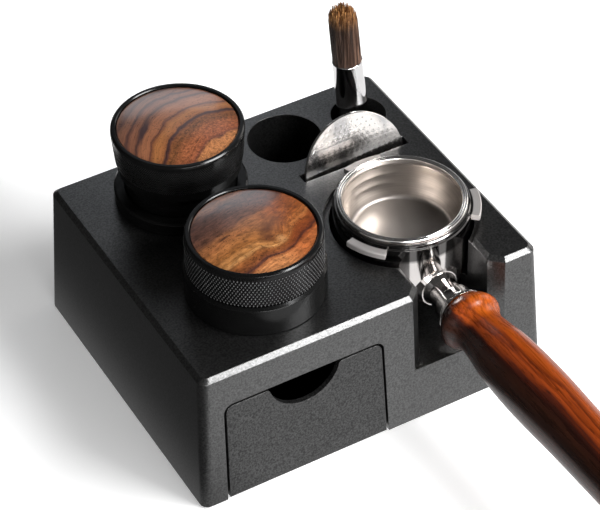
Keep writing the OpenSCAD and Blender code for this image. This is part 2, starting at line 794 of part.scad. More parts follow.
module tamper_knob() {
    color("#1c1d1f") at_tamper() difference() {
        rotate_extrude() union() {
            translate([0, knob_low]) tool_head(0, knob_h, knob_low_r, knob_top_r);
            translate([0, sleeve_low]) square([sleeve_r, knob_low - sleeve_low]);
        }
        // Spring room inside the sleeve, and the guide bore in the crown
        translate([0, 0, sleeve_low - over]) cylinder(h = crown_low - sleeve_low + over, r = sleeve_bore);
        translate([0, 0, crown_low - over]) cylinder(h = crown_bore + over, r = shaft_r + fit_gap);
    }
}

module tamper_inlay() {
    color("#7a4a26") at_tamper()
        translate([0, 0, tamper_h - seat_deep + inlay_edge])
            dome(knob_top_r - rim_w - inlay_gap, inlay_edge, inlay_rise);
}

// Helical spring as a swept tube
function coil_point(r, h, turns, u, k, sides) =
    let (a = 360 * turns * u, s = 360 * k / sides, out = r + wire_r * cos(s))
    [out * cos(a), out * sin(a), h * u + wire_r * sin(s)];

module coil(r, h, turns) {
    sides = 6;
    rings = round(16 * turns);
    points = [for (i = [0 : rings], k = [0 : sides - 1]) coil_point(r, h, turns, i / rings, k, sides)];
    walls = [for (i = [0 : rings - 1], k = [0 : sides - 1]) let (n = (k + 1) % sides)
        [i * sides + k, i * sides + n, (i + 1) * sides + n, (i + 1) * sides + k]];
    caps = [[for (k = [sides - 1 : -1 : 0]) k], [for (k = [0 : sides - 1]) rings * sides + k]];
    polyhedron(points, concat(walls, caps));
}

coil_gap = 8;
coil_r = sleeve_bore - coil_gap;

module tamper_spring() {
    room = crown_low - piston_top - 2 * wire_r - 0.2;
    color("#a9a9a9") at_tamper() translate([0, 0, piston_top + wire_r + 0.1])
        coil(coil_r, room, spring_turns);
}

module tamper_shaft() {
    color("#9c9c9c") at_tamper() translate([0, 0, piston_top - shaft_in])
        cylinder(h = shaft_top - piston_top + shaft_in, r = shaft_r);
}

module tamper_base() {
    color("#b9b9b9") at_tamper() difference() {
        translate([0, 0, -well_depth]) rotate_extrude() polygon([[0, 0], [tool_r - 0.4, 0],
            [tool_r, 0.4], [tool_r, piston_h - 1], [tool_r - 1, piston_h], [0, piston_h]]);
        translate([0, 0, piston_top - shaft_in]) cylinder(h = shaft_in + over, r = shaft_r + 0.02);
    }
}

// BRUSH, which leans in its hole

brush_off_x = -0.4;
brush_off_y = 4.9;
grip_r = 6;
ferrule_low = -14;
handle_low = 3.4 - brush_depth;

module in_brush_hole() {
    translate([brush_x + brush_off_x, brush_y + brush_off_y, top_z])
        rotate([-lean_back, -lean_side, 0]) children();
}

module brush_handle() {
    color("#241c17") in_brush_hole() rotate_extrude() polygon(concat([[0, ferrule_low + 8],
        [grip_r, ferrule_low + 8], [grip_r, handle_low + 4]], arc(grip_r - 4, handle_low + 4, 4, 0, -90, 5),
        [[0, handle_low]]));
}

module brush_ferrule() {
    // Tapered tube with a rolled upper rim
    l = ferrule_top - ferrule_low;
    flare = 0.5;
    t = 0.5;
    color("#d0d0d0") in_brush_hole() translate([0, 0, ferrule_low]) rotate_extrude() union() {
        polygon([[grip_r, 0], [grip_r + t, 0], [ferrule_r + flare, l * 0.45], [ferrule_r, l],
            [ferrule_r - t, l], [ferrule_r + flare - t, l * 0.5], [grip_r, l * 0.3]]);
        translate([ferrule_r - 0.1, l - 0.4]) circle(r = 0.4, $fn = 16);
    }
}

module brush_bristles() {
    // Tuft, rounded at its tip
    low = ferrule_top - 12;
    r0 = ferrule_r - 0.55;
    tip = ferrule_top + bristle_l;
    color("#8a6a4c") in_brush_hole() rotate_extrude() polygon(concat([[0, low], [r0, low],
        [r0, ferrule_top + 0.6], [r0 + 0.55, ferrule_top + 3]],
        arc(r0 - 3.9, tip - 4.5, 4.5, 0, 90, 6), [[0, tip]]));
}

// The plate stands on the floor of its slot and leans further back than the slot
screen_back = 0.5;
screen_lean = 2.5;
screen_rise = 0.35;

module puck_screen() {
    // Round plate that leans against the back edge of its slot
    r = tool_r;
    sink = slot_depth - seat_gap - screen_rise;
    color("#b5aca2") translate([slot_x, slot_y + screen_back, top_z])
        rotate([-slot_lean - screen_lean, 0, 0]) translate([0, 0, r - sink])
        rotate([0, 0, screen_turn]) rotate([90, 0, 0])
            translate([0, 0, -screen_t / 2]) rotate_extrude() polygon([[0, 0], [r - 0.3, 0], [r, 0.3],
                [r, screen_t - 0.3], [r - 0.3, screen_t], [0, screen_t]]);
}

station_housing();
base_plate();
base_screws();
anti_slip_mat();
drawer();
portafilter_body();
filter_basket();
basket_clip_ring();
handle_collar();
handle_stud();
handle_grip();
distributor_ring();
distributor_grip();
distributor_inlay();
distributor_base();
distributor_screw();
tamper_collar();
tamper_knob();
tamper_inlay();
tamper_spring();
tamper_shaft();
tamper_base();
brush_handle();
brush_ferrule();
brush_bristles();
puck_screen();
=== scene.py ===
import math

import bmesh
import bpy
from mathutils import Matrix, Vector


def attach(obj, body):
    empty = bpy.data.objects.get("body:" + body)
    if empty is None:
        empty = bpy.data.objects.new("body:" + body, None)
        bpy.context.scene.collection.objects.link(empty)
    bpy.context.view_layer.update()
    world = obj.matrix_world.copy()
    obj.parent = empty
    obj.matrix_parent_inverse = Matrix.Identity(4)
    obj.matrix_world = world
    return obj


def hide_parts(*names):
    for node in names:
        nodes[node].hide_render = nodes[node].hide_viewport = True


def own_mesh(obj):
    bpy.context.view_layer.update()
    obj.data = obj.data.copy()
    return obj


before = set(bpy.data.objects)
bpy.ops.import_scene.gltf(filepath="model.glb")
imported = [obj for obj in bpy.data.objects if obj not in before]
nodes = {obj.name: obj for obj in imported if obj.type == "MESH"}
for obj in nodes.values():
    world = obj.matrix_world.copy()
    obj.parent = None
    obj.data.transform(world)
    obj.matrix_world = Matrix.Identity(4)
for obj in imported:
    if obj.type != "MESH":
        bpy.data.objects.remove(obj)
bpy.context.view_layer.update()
scene = bpy.context.scene
print("frame loaded:", len(nodes), "nodes")

mm = 0.001
caseTop = 72.4


# Node trees: materials, the world and the geometry patterns share one way to add and link nodes.

def grey(value):
    return (value, value, value, 1)


class Tree:
    def __init__(self, tree):
        self.tree = tree
        tree.nodes.clear()

    def add(self, kind, inputs=None, **settings):
        node = self.tree.nodes.new(kind)
        for key, value in settings.items():
            setattr(node, key, value)
        for key, value in (inputs or {}).items():
            self.feed(node.inputs[key], value)
        return node

    def feed(self, socket, value):
        if isinstance(value, bpy.types.NodeSocket):
            self.tree.links.new(value, socket)
        elif isinstance(value, bpy.types.Node):
            self.tree.links.new(value.outputs[0], socket)
        else:
            socket.default_value = value

    def math(self, operation, a, b=0.0, clamp=False):
        return self.add("ShaderNodeMath", {0: a, 1: b}, operation=operation, use_clamp=clamp).outputs[0]

    def plus(self, total, *terms):
        for term in terms:
            total = self.math("ADD", total, term)
        return total

    def times(self, product, *factors):
        for factor in factors:
            product = self.math("MULTIPLY", product, factor)
        return product

    def minus(self, a, b):
        return self.math("SUBTRACT", a, b)

    def over(self, a, b):
        return self.math("DIVIDE", a, b)

    def around(self, middle, noise, spread):
        # The middle value, moved up and down by a noise
        return self.plus(middle, self.times(self.minus(noise, 0.5), spread))

    def mapped(self, value, source, target=(0.0, 1.0)):
        # From one range to another, held at its ends
        return self.add("ShaderNodeMapRange", {
            "Value": value, "From Min": source[0], "From Max": source[1],
            "To Min": target[0], "To Max": target[1],
        }).outputs[0]

    def vector(self, x=0.0, y=0.0, z=0.0):
        return self.add("ShaderNodeCombineXYZ", {0: x, 1: y, 2: z}).outputs[0]

    def parts(self, vector):
        return tuple(self.add("ShaderNodeSeparateXYZ", {0: vector}).outputs)

    def vectorMath(self, operation, *inputs):
        node = self.add("ShaderNodeVectorMath", dict(enumerate(inputs)), operation=operation)
        return node.outputs["Value" if operation in ("DISTANCE", "LENGTH") else "Vector"]


class Graph(Tree):
    def __init__(self, name):
        self.material = bpy.data.materials.new(name)
        self.material.use_nodes = True
        super().__init__(self.material.node_tree)

    def coords(self, scale=(1, 1, 1), turn=(0, 0, 0), move=(0, 0, 0)):
        # Object coordinates in millimetres
        return self.add("ShaderNodeMapping", {
            "Vector": self.add("ShaderNodeTexCoord").outputs["Object"], "Location": move,
            "Rotation": [math.radians(a) for a in turn], "Scale": [s / mm for s in scale],
        }).outputs[0]

    def fromAxis(self, axis):
        # Distance from an upright axis, and height
        x, y, z = self.parts(self.coords(move=(-axis[0], -axis[1], 0)))
        return self.math("SQRT", self.plus(self.times(x, x), self.times(y, y))), z

    def noise(self, vector, scale, detail=2.0, rough=0.5, distortion=0.0):
        return self.add("ShaderNodeTexNoise", {
            "Vector": vector, "Scale": scale, "Detail": detail, "Roughness": rough, "Distortion": distortion,
        }).outputs["Fac"]

    def ramp(self, value, stops, mode="LINEAR"):
        # Each stop is a position from 0 to 1 with a colour or a grey
        node = self.add("ShaderNodeValToRGB", {0: value})
        node.color_ramp.interpolation = mode
        elements = node.color_ramp.elements
        while len(elements) < len(stops):
            elements.new(0.5)
        for element, (position, colour) in zip(elements, stops):
            element.position = position
            element.color = grey(colour) if isinstance(colour, float) else tuple(colour) + (1,)
        return node.outputs[0]

    def bands(self, level, stops, mode="LINEAR"):
        # A ramp with its stops in millimetres
        low, high = stops[0][0], stops[-1][0]
        part = self.over(self.minus(level, low), high - low)
        return self.ramp(part, [((at - low) / (high - low), colour) for at, colour in stops], mode)

    def mix(self, factor, a, b, blend="MIX"):
        inputs = {0: factor, 6: a, 7: b}
        return self.add("ShaderNodeMix", inputs, data_type="RGBA", blend_type=blend).outputs[2]

    def shade(self, colour, by):
        return self.mix(1.0, colour, by, "MULTIPLY")

    def bump(self, height, strength, distance, normal=None):
        inputs = {"Height": height, "Strength": strength, "Distance": distance * mm}
        if normal is not None:
            inputs["Normal"] = normal
        return self.add("ShaderNodeBump", inputs).outputs[0]

    def edges(self, radius):
        # Softens the sharp edges of a CAD mesh in the shading only
        return self.add("ShaderNodeBevel", {"Radius": radius * mm}, samples=6).outputs[0]

    def near(self, vector, centre, reach):
        # 1 at the centre, falling softly to 0 at the reach
        part = self.math("SUBTRACT", 1.0, self.over(self.vectorMath("DISTANCE", vector, centre), reach), True)
        return self.times(part, part, self.minus(3.0, self.times(part, 2.0)))

    def finish(self, **inputs):
        sockets = {key.replace("_", " "): value for key, value in inputs.items()}
        self.add("ShaderNodeOutputMaterial", {0: self.add("ShaderNodeBsdfPrincipled", sockets)})
        return self.material


def paint(material, *names):
    for name in names:
        mesh = nodes[name].data
        mesh.materials.clear()
        mesh.materials.append(material)


# Case and drawer: moulded plastic with a fine spark-eroded grain.

moulding = {"grain": 1.15, "grainDepth": 0.1, "edge": 0.5}
casePlastic = {"base": 0.0042, "rough": 0.33, "specular": 1.0, "index": 1.69, **moulding}
drawerPlastic = {"base": 0.007, "rough": 0.4, "specular": 0.58, "index": 1.5, **moulding}


def makeCasePlastic(name, s):
    g = Graph(name)
    grain = g.noise(g.coords(), s["grain"], 3, 0.6)
    cloud = g.noise(g.coords(), 0.05, 3, 0.55)
    colour = g.ramp(cloud, [(0.3, s["base"] * 0.85), (0.7, s["base"] * 1.2)])
    colour = g.shade(colour, g.ramp(grain, [(0.36, 0.5), (0.64, 1.7)]))
    shine = g.ramp(grain, [(0.36, s["specular"] * 0.55), (0.64, min(s["specular"] * 1.45, 1.0))])
    normal = g.bump(grain, 0.6, s["grainDepth"], g.edges(s["edge"]))
    return g.finish(
        Base_Color=colour, Roughness=g.around(s["rough"], grain, 0.16), Normal=normal,
        Specular_IOR_Level=shine, IOR=s["index"],
    )


def makePlainPlastic(name, base, rough, grainScale=1.2):
    g = Graph(name)
    grain = g.noise(g.coords(), grainScale, 3, 0.6)
    colour = g.ramp(grain, [(0.3, base * 0.8), (0.7, base * 1.25)])
    return g.finish(Base_Color=colour, Roughness=rough, Normal=g.bump(grain, 0.4, 0.03))


paint(makeCasePlastic("caseSatinBlack", casePlastic), "station_housing")
paint(makeCasePlastic("drawerSatinBlack", drawerPlastic), "drawer")
paint(makePlainPlastic("plateBlack", 0.02, 0.5), "base_plate")
paint(makePlainPlastic("matRubber", 0.014, 0.8, 0.6), "anti_slip_mat")
print("case done")


# Metals: polished chrome, satin steel and black anodised aluminium.

metalEdge = 0.15
seatAxis = (43.5, -24.6)
bodyChrome = {
    "base": (0.82, 0.78, 0.76), "rough": 0.11, "ring": (29.1, 29.4), "ringPaintedShade": 0.85,
    "ears": (31.3, 31.9), "earRough": 0.55, "low": (71.0, 73.0),
}
# One spun steel: the light rim colour is a painted highlight, and the colour darkens down the wall to the
# floor
basketLook = {
    "rim": (0.88, 0.86, 0.84), "wall": (0.66, 0.615, 0.575), "floor": (0.48, 0.44, 0.41),
    "rimFrom": (79.5, 81.0), "floorTo": (64.5, 66.5),
    "rimRough": 0.17, "wallRough": 0.27, "floorRough": 0.42, "spin": 0.6,
}


def cloudy(g, base):
    # The colour, a little darker in wide soft patches
    return g.ramp(g.noise(g.coords(), 0.08), [(0.3, [c * 0.93 for c in base]), (0.7, base)])


def makeMetal(name, base, rough, spread, scale=(1, 1, 1), brush=0.0):
    g = Graph(name)
    streak = g.noise(g.coords(scale), 0.6, 4, 0.6)
    normal = g.edges(metalEdge)
    if brush:
        normal = g.bump(streak, 1.0, brush, normal)
    value = g.around(rough, streak, spread)
    return g.finish(Base_Color=cloudy(g, base), Metallic=1.0, Roughness=value, Normal=normal)


def makeBodyChrome(name, s):
    # Polished body with brushed ears, and a ring under the rim darkened with painted shade
    g = Graph(name)
    away, z = g.fromAxis(seatAxis)
    high = g.mapped(z, s["low"])
    outer = g.mapped(away, s["ears"])
    # Painted shade: the ring just inside the ears, high up under the rim, is darkened
    shadow = g.times(g.mapped(away, s["ring"]), high, g.minus(1.0, outer), s["ringPaintedShade"])
    colour = g.mix(shadow, cloudy(g, s["base"]), grey(0.03))
    value = g.around(s["rough"], g.noise(g.coords(), 0.6, 4, 0.6), 0.05)
    value = g.plus(value, g.times(outer, high, s["earRough"] - s["rough"]))
    return g.finish(Base_Color=colour, Metallic=1.0, Roughness=value, Normal=g.edges(metalEdge))


def makeBasketSteel(name, s):
    # Spun sheet: its fine rings stretch the highlights up and down
    g = Graph(name)
    z = g.parts(g.coords())[2]
    rim = g.mapped(z, s["rimFrom"])
    wall = g.mapped(z, s["floorTo"])
    rings = g.noise(g.coords((0.02, 0.02, 1.6)), 1.0, 3, 0.6)
    # The rim's lighter colour is a painted highlight; below it the colour darkens down the wall to the floor
    colour = g.mix(rim, g.mix(wall, s["floor"] + (1,), s["wall"] + (1,)), s["rim"] + (1,))
    colour = g.shade(colour, g.ramp(rings, [(0.35, 0.9), (0.65, 1.06)]))
    value = g.mapped(z, s["floorTo"], (s["floorRough"], s["wallRough"]))
    value = g.plus(value, g.times(rim, s["rimRough"] - s["wallRough"]), g.times(rings, 0.03))
    spin = g.times(wall, g.minus(1.0, rim), s["spin"])
    tangent = g.add("ShaderNodeTangent", direction_type="RADIAL", axis="Z")
    return g.finish(
        Base_Color=colour, Metallic=1.0, Roughness=value, Normal=g.edges(metalEdge),
        Anisotropic=spin, Tangent=tangent,
    )


def makeAnodised(name, base, rough, edge=0.25, cone=None):
    g = Graph(name)
    streak = g.noise(g.coords((0.4, 0.4, 4)), 0.7, 4, 0.6)
    colour = g.ramp(g.noise(g.coords(), 0.1), [(0.3, base * 0.8), (0.7, base * 1.2)])
    if cone:
        # Tips lighter, partly from wear and partly a painted glint, and grooves darkened with painted shade,
        # told apart by their distance from the cone of the grooves
        away, z = g.fromAxis(cone["centre"])
        slope = (cone["highRadius"] - cone["lowRadius"]) / (cone["high"] - cone["low"])
        ground = g.plus(g.times(z, slope), cone["lowRadius"] - slope * cone["low"])
        rise = g.over(g.minus(away, ground), cone["depth"])
        colour = g.shade(colour, g.ramp(rise, [(0.1, 0.08), (0.45, 1.0), (0.95, cone["wearAndGlint"])]))
    normal = g.bump(streak, 0.5, 0.0015, g.edges(edge))
    return g.finish(Base_Color=colour, Metallic=0.5, Roughness=g.around(rough, streak, 0.1), Normal=normal)


turnedSteel = makeMetal("steelTurned", (0.62, 0.61, 0.6), 0.22, 0.1, (0.2, 0.2, 3), 0.002)
zincSteel = makeMetal("steelZinc", (0.55, 0.55, 0.57), 0.3, 0.1)
springSteel = makeMetal("steelSpring", (0.5, 0.5, 0.51), 0.25, 0.1)
anodisedTurned = makeAnodised("anodisedTurned", 0.006, 0.18)
paint(makeBodyChrome("chromeBody", bodyChrome), "portafilter_body")
paint(makeBasketSteel("steelBasket", basketLook), "filter_basket")
paint(makeMetal("chromePolished", (0.8, 0.78, 0.76), 0.12, 0.05), "handle_collar")
paint(makeMetal("chromeTube", (0.85, 0.84, 0.84), 0.09, 0.04), "brush_ferrule")
paint(turnedSteel, "distributor_base", "tamper_base", "tamper_shaft", "handle_stud")
paint(zincSteel, "base_screws", "distributor_screw")
paint(springSteel, "tamper_spring", "basket_clip_ring")
paint(anodisedTurned, "distributor_ring", "distributor_grip", "tamper_collar", "tamper_knob")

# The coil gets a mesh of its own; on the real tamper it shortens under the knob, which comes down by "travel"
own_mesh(nodes["tamper_spring"])
print("metals done")


# Woods. Both walnut figures are bands of colour over a level that bends like the grain.

backDome = {
    "centre": (-33.5, 40.0), "turn": 19.7, "middle": 2.33, "curl": 0.014,
    "bands": [
        (-27, (0.44, 0.18, 0.07)), (-20.8, (0.4, 0.16, 0.06)), (-19.3, (0.15, 0.05, 0.03)),
        (-17.8, (0.26, 0.08, 0.035)), (-12, (0.28, 0.09, 0.035)), (-8.5, (0.15, 0.055, 0.02)),
        (-6.4, (0.2, 0.07, 0.025)), (-5.2, (0.06, 0.022, 0.02)), (-4.2, (0.05, 0.022, 0.02)),
        (-3.2, (0.28, 0.1, 0.035)), (0.6, (0.36, 0.14, 0.045)), (2.4, (0.25, 0.09, 0.034)),
        (3.6, (0.1, 0.035, 0.024)), (4.6, (0.3, 0.115, 0.055)), (8.5, (0.32, 0.125, 0.06)),
        (11.0, (0.2, 0.078, 0.042)), (12.3, (0.065, 0.03, 0.026)), (13.8, (0.2, 0.08, 0.045)),
        (15.8, (0.25, 0.1, 0.055)), (17.2, (0.16, 0.065, 0.042)), (18.2, (0.07, 0.032, 0.028)),
        (19.6, (0.23, 0.095, 0.055)), (22.6, (0.2, 0.09, 0.055)), (23.6, (0.1, 0.045, 0.035)),
        (27, (0.22, 0.1, 0.06)),
    ],
    "mottled": (-4.5, -7.0), "blot": (0.055, 0.027, 0.028, 1), "pores": 0.6,
}
frontDome = {
    "centre": (-34.9, -31.9), "tilt": 0.2, "curl": 0.011, "knot": (5.6, -11.0, 0), "knotReach": 12.0,
    "bands": [
        (-32, (0.5, 0.2, 0.07)), (-22, (0.48, 0.19, 0.07)), (-20.4, (0.3, 0.1, 0.035)),
        (-19.2, (0.07, 0.026, 0.022)), (-17.8, (0.2, 0.062, 0.022)), (-14.5, (0.25, 0.08, 0.022)),
        (-12.8, (0.32, 0.12, 0.035)), (-11.3, (0.5, 0.24, 0.085)), (-10.1, (0.36, 0.15, 0.042)),
        (-8.9, (0.44, 0.19, 0.06)), (-6.5, (0.3, 0.11, 0.028)), (-2.4, (0.38, 0.145, 0.045)),
        (0.5, (0.33, 0.12, 0.04)), (3.6, (0.33, 0.125, 0.045)), (6.6, (0.15, 0.06, 0.033)),
        (12, (0.11, 0.047, 0.032)), (20, (0.085, 0.037, 0.027)), (23.5, (0.2, 0.075, 0.033)),
        (26, (0.16, 0.06, 0.03)), (32, (0.07, 0.03, 0.02)),
    ],
    "redFrom": (2.0, 13.0), "redder": (0.84, 0.6, 0.46, 1), "dash": (0.07, 0.024, 0.012, 1),
    "halos": [((1.8, -9.4, 0), 5.2, 0.9), ((3.6, -4.8, 0), 6.4, 0.9), ((8.0, -0.6, 0), 7.0, 0.7)],
    "halo": (0.12, 0.038, 0.014, 1),
    "eye": (6.6, -12.3, 0), "eyeReach": 3.4, "eyeColour": (0.5, 0.25, 0.1, 1), "pores": 0.75,
}
redWood = {
    "turn": 2.0, "axis": (43.5, 53.0), "bulb": (-92.5, -88.5), "bulbTint": (1.25, 1.4, 1.6, 1),
    "swing": (-155.0, -95.0),
    # Bands round the grip: red on top, then painted shade down the side and underneath
    "bands": [
        (0.0, (0.2, 0.03, 0.003)), (0.3, (0.27, 0.044, 0.002)), (0.4, (0.29, 0.05, 0.003)),
        (0.425, (0.26, 0.042, 0.003)), (0.44, (0.1, 0.014, 0.002)), (0.455, (0.24, 0.038, 0.004)),
        (0.472, (0.12, 0.017, 0.003)), (0.487, (0.26, 0.042, 0.006)), (0.506, (0.19, 0.03, 0.005)),
        (0.522, (0.05, 0.009, 0.004)), (0.54, (0.02, 0.005, 0.003)), (0.6, (0.026, 0.008, 0.004)),
        (0.66, (0.016, 0.006, 0.004)), (0.75, (0.04, 0.012, 0.008)), (0.86, (0.08, 0.02, 0.008)),
        (1.0, (0.2, 0.03, 0.003)),
    ],
}


def turned(x, y, degrees):
    # A shift given before a turn about Z, as the Mapping node wants it after the turn
    a = math.radians(degrees)
    return (x * math.cos(a) - y * math.sin(a), x * math.sin(a) + y * math.cos(a), 0)


def addPores(g, colour, amount):
    # Small dark pores, denser in some places than in others
    where = g.coords((1, 1, 0.3))
    value = g.minus(g.noise(where, 1.3), g.times(g.noise(where, 0.07), 0.25))
    return g.shade(colour, g.ramp(value, [(0.16, 1 - amount), (0.27, 1.0)]))


def finishWood(g, colour, fibre, rough=0.3, specular=0.5, coat=0.8):
    return g.finish(
        Base_Color=colour, Roughness=g.around(rough, fibre, 0.14), Normal=g.bump(fibre, 0.35, 0.02),
        Specular_IOR_Level=specular, Coat_Weight=coat, Coat_Roughness=0.16,
    )


def makeWalnutRings(name, s):
    # Growth rings cut at a slant: dark lines along parabolas
    g = Graph(name)
    cx, cy = s["centre"]
    local = g.coords(turn=(0, 0, -s["turn"]), move=turned(-cx, -cy, -s["turn"]))
    x, y = g.parts(local)[:2]
    flat = g.vector(x, y)
    along = g.minus(x, s["middle"])
    level = g.plus(y, g.times(along, along, s["curl"]))
    level = g.around(level, g.noise(local, 0.09, 2), 5.0)
    level = g.around(level, g.noise(local, 0.5, 3), 0.9)
    flow = g.vector(g.times(x, 0.14), g.times(level, 1.9))
    fibre = g.noise(flow, 1.0, 4, 0.6)
    colour = g.shade(g.bands(level, s["bands"]), g.ramp(fibre, [(0.28, 0.55), (0.5, 0.98), (0.72, 1.25)]))
    mottle = g.ramp(g.noise(flat, 0.75, 4, 0.75), [(0.36, 0.45), (0.5, 1.0), (0.64, 1.45)])
    colour = g.mix(g.mapped(level, s["mottled"]), colour, g.shade(colour, mottle))
    # Thick dark blot on one ring
    blot = g.times(g.near(flat, (-14.2, 7.0, 0), 11.0), g.near(flow, (-2.0, 20.8, 0), 6.0))
    colour = g.mix(g.math("MULTIPLY", blot, 1.5, True), colour, s["blot"])
    return finishWood(g, addPores(g, colour, s["pores"]), fibre)


def makeWalnutFigure(name, s):
    # Flowing figure that bends round a knot, with a light sweep, a short dash and one dark line
    g = Graph(name)
    cx, cy = s["centre"]
    x, y = g.parts(g.coords(move=(-cx, -cy, 0)))[:2]
    flat = g.vector(x, y)
    right = g.math("MAXIMUM", x, 0.0)
    slope = g.plus(g.times(x, s["tilt"]), g.times(right, right, s["curl"]))
    level = g.plus(g.minus(y, slope), g.times(g.near(flat, s["knot"], s["knotReach"]), 6.0))
    level = g.around(level, g.noise(flat, 0.06, 2), 5.0)
    level = g.around(level, g.noise(flat, 0.45, 3), 1.0)
    colour = g.bands(level, s["bands"])
    # Redder wood to the right of the knot
    colour = g.mix(g.mapped(x, s["redFrom"]), colour, g.shade(colour, s["redder"]))
    fibre = g.noise(g.vector(g.times(x, 0.16), g.times(level, 1.2)), 1.0, 5, 0.65)
    colour = g.shade(colour, g.ramp(fibre, [(0.28, 0.5), (0.5, 0.95), (0.72, 1.4)]))
    mottle = g.noise(g.coords((0.6, 1, 1)), 0.42, 4, 0.7)
    colour = g.shade(colour, g.ramp(mottle, [(0.36, 0.62), (0.5, 1.0), (0.64, 1.3)]))
    dash = g.near(g.vector(g.times(x, 0.25), level), (-3.7, 2.6, 0), 1.3)
    colour = g.mix(dash, colour, s["dash"])
    for spot, reach, amount in s["halos"]:
        dark = g.times(g.minus(1.5, fibre), amount)
        colour = g.mix(g.math("MULTIPLY", g.near(flat, spot, reach), dark, True), colour, s["halo"])
    colour = g.mix(g.times(g.near(flat, s["eye"], s["eyeReach"]), 0.85), colour, s["eyeColour"])
    return finishWood(g, addPores(g, colour, s["pores"]), fibre)


def makeRedWood(name, s):
    # Red heartwood on top and painted shade down the left side and underneath, told apart by the angle round
    # the axis
    g = Graph(name)
    long = g.coords((1, 0.045, 1), (0, 0, s["turn"]))
    wide = g.noise(long, 0.16, 3, 0.55, 0.4)
    thin = g.noise(long, 0.8, 4, 0.6, 0.2)
    pores = g.noise(g.coords((1.6, 0.16, 1.6)), 1.1)
    x, y, z = g.parts(g.coords(move=(-s["axis"][0], 0, -s["axis"][1])))
    bulb = g.mapped(y, s["bulb"])
    angle = g.over(g.math("ARCTAN2", g.times(x, -1.0), z), math.tau)
    # The edge of the painted shade moves round on the bulb and along the grip
    value = g.minus(g.plus(angle, 0.49), g.plus(g.times(bulb, 0.02), g.mapped(y, s["swing"], (0.0, 0.062))))
    value = g.around(g.around(value, wide, 0.09), thin, 0.07)
    colour = g.ramp(value, s["bands"])
    colour = g.mix(bulb, colour, g.shade(colour, s["bulbTint"]))
    colour = g.shade(colour, g.ramp(thin, [(0.32, 0.6), (0.5, 1.0), (0.68, 1.35)]))
    colour = g.shade(colour, g.ramp(pores, [(0.28, 0.45), (0.38, 1.0)]))
    return finishWood(g, colour, thin, 0.28, 0.3, 0.12)


paint(makeWalnutRings("walnutRings", backDome), "tamper_inlay")
paint(makeWalnutFigure("walnutFigure", frontDome), "distributor_inlay")
paint(makeRedWood("redWood", redWood), "handle_grip")
paint(makePlainPlastic("darkWood", 0.02, 0.45), "brush_handle")
print("woods done")


# Geometry nodes: each repeated pattern is one node group, evaluated to a plain mesh.

class Pattern(Tree):
    def __init__(self, name):
        super().__init__(bpy.data.node_groups.new(name, "GeometryNodeTree"))
        self.start = self.add("NodeGroupInput")
        self.end = self.add("NodeGroupOutput")
        self.values = {}

    def input(self, name, kind, value):
        socket = self.tree.interface.new_socket(name, in_out="INPUT", socket_type=kind)
        self.values[socket.identifier] = value
        return self.start.outputs[name]

    def numbers(self, s, *names):
        return [self.input(name, "NodeSocketInt", s[name]) for name in names]

    def sizes(self, s, *names):
        return [self.input(name, "NodeSocketFloat", s[name] * mm) for name in names]

    def position(self):
        return self.add("GeometryNodeInputPosition").outputs[0]

    def index(self):
        return self.add("GeometryNodeInputIndex").outputs[0]

    def rowAndColumn(self, count):
        # Of each point, with count points to a row
        index = self.index()
        row = self.math("FLOOR", self.over(self.plus(index, 0.5), count))
        return row, self.minus(index, self.times(row, count))

    def polar(self, radius, angle, z):
        x = self.times(radius, self.math("COSINE", angle))
        return self.vector(x, self.times(radius, self.math("SINE", angle)), z)

    def points(self, count, place):
        return self.place(self.add("GeometryNodePoints", {"Count": count}), place)

    def place(self, geometry, place):
        return self.add("GeometryNodeSetPosition", {"Geometry": geometry, "Position": place}).outputs[0]

    def cone(self, vertices, bottom, top, depth, segments=1, fill="NONE"):
        return self.add("GeometryNodeMeshCone", {
            "Vertices": vertices, "Side Segments": segments,
            "Radius Top": top, "Radius Bottom": bottom, "Depth": depth,
        }, fill_type=fill).outputs[0]

    def copies(self, points, instance, **inputs):
        inputs = {"Points": points, "Instance": instance, **inputs}
        return self.add("GeometryNodeInstanceOnPoints", inputs).outputs[0]

    def moved(self, geometry, offset, turn=(0, 0, 0)):
        return self.add("GeometryNodeTransform", {
            "Geometry": geometry, "Translation": offset, "Rotation": turn,
        }).outputs[0]

    def realized(self, geometry):
        return self.add("GeometryNodeRealizeInstances", {0: geometry}).outputs[0]

    def join(self, *pieces):
        node = self.add("GeometryNodeJoinGeometry")
        for piece in pieces:
            self.feed(node.inputs[0], piece)
        return node.outputs[0]

    def build(self, name, geometry, material):
        # Returns the pattern as a plain mesh object
        self.tree.interface.new_socket("Geometry", in_out="OUTPUT", socket_type="NodeSocketGeometry")
        inputs = {"Geometry": self.realized(geometry), "Material": material}
        self.feed(self.end.inputs[0], self.add("GeometryNodeSetMaterial", inputs))
        holder = bpy.data.objects.new(name + "Holder", bpy.data.meshes.new(name + "Seed"))
        scene.collection.objects.link(holder)
        modifier = holder.modifiers.new("pattern", "NODES")
        modifier.node_group = self.tree
        for identifier, value in self.values.items():
            modifier[identifier] = value
        depsgraph = bpy.context.evaluated_depsgraph_get()
        mesh = bpy.data.meshes.new_from_object(holder.evaluated_get(depsgraph), depsgraph=depsgraph)
        mesh.name = name
        bpy.data.objects.remove(holder)
        piece = bpy.data.objects.new(name, mesh)
        scene.collection.objects.link(piece)
        return piece


def shiftBy(x, y, z):
    return Matrix.Translation(Vector((x, y, z)) * mm)


def turnAbout(axis, degrees):
    return Matrix.Rotation(math.radians(degrees), 4, axis)


# Knurling: rows of four-sided points set round a cone, every second row shifted by half a step.

# The last value lightens the knurl tips: partly wear, partly a painted glint
frontKnurl = {
    "centre": (-34.9, -31.9), "count": 117, "rows": 11, "low": 87.6, "high": 103.4,
    "lowRadius": 29.87, "highRadius": 29.82, "depth": 0.36, "wearAndGlint": 22.0,
}
backKnurl = {
    "centre": (-33.5, 40.0), "count": 190, "rows": 19, "low": 95.0, "high": 109.6,
    "lowRadius": 28.55, "highRadius": 29.72, "depth": 0.16, "wearAndGlint": 3.0,
}


